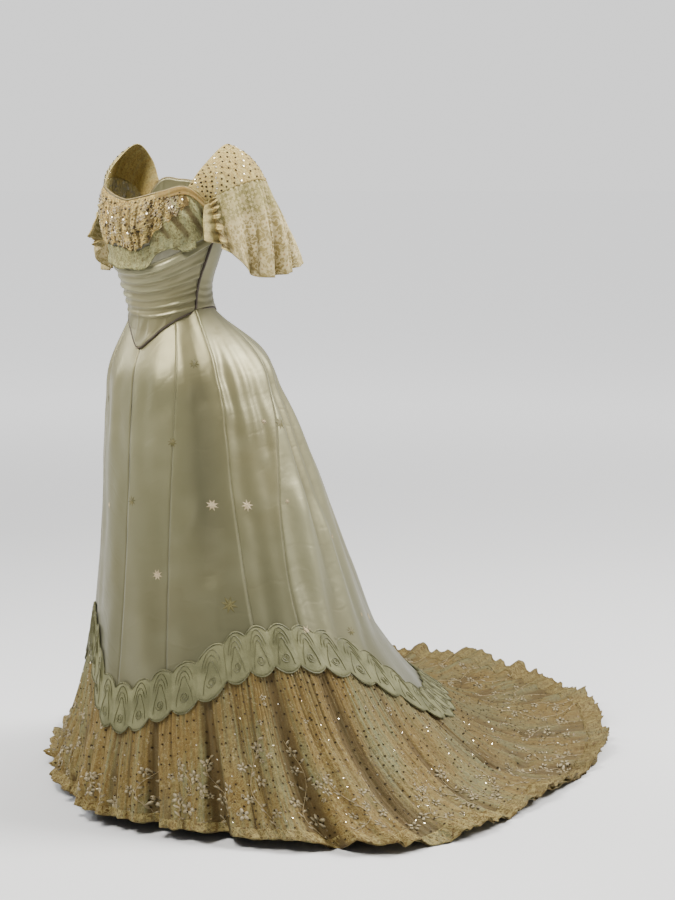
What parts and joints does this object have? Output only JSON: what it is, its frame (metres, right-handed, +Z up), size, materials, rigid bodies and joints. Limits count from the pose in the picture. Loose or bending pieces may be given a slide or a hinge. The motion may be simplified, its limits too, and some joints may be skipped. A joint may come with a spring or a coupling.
{
  "type": "evening dress",
  "caption": "Worn-shaped evening dress of pale satin with a draped pointed bodice, net shoulders, lace sleeves, a gored skirt, a gathered net flounce and a long train.",
  "frame": {"origin": "centre of the natural waist, on the body axis, where the wearer holds the dress", "axes": "+Z up, the wearer faces -Y, +X is the wearer's left; the floor is 1.10 m below the origin"},
  "size_m": [1.4309, 1.6353, 1.3918],
  "materials": {
    "satin": "pale sea-foam silk satin",
    "flounce_net": "gold-tan net over satin",
    "applique": "sage green applique",
    "lace": "gold-tan lace",
    "sequin_net": "sequinned net",
    "yoke_net": "sage green net",
    "piping": "dark brown cord"
  },
  "bodies": {
    "root": {"basque_piping": "piping", "bodice_back_left": "satin", "bodice_back_right": "satin", "bodice_front_drape": "satin", "bodice_front_yoke": "satin", "border_back": "applique", "border_front": "applique", "border_left": "applique", "border_right": "applique", "flounce_back": "flounce_net", "flounce_back_left": "flounce_net", "flounce_back_right": "flounce_net", "flounce_front": "flounce_net", "flounce_left": "flounce_net", "flounce_right": "flounce_net", "neck_frill_back": "lace", "neck_frill_front": "lace", "shoulder_cap_left": "sequin_net", "shoulder_cap_right": "sequin_net", "side_opening_edge": "piping", "skirt_gore_back_left": "satin", "skirt_gore_back_right": "satin", "skirt_gore_front_left": "satin", "skirt_gore_front_right": "satin", "skirt_gore_side_front_left": "satin", "skirt_gore_side_front_right": "satin", "skirt_gore_side_left": "satin", "skirt_gore_side_right": "satin", "sleeve_flounce_left": "lace", "sleeve_flounce_right": "lace", "yoke_scallops": "yoke_net"}
  },
  "joints": []
}
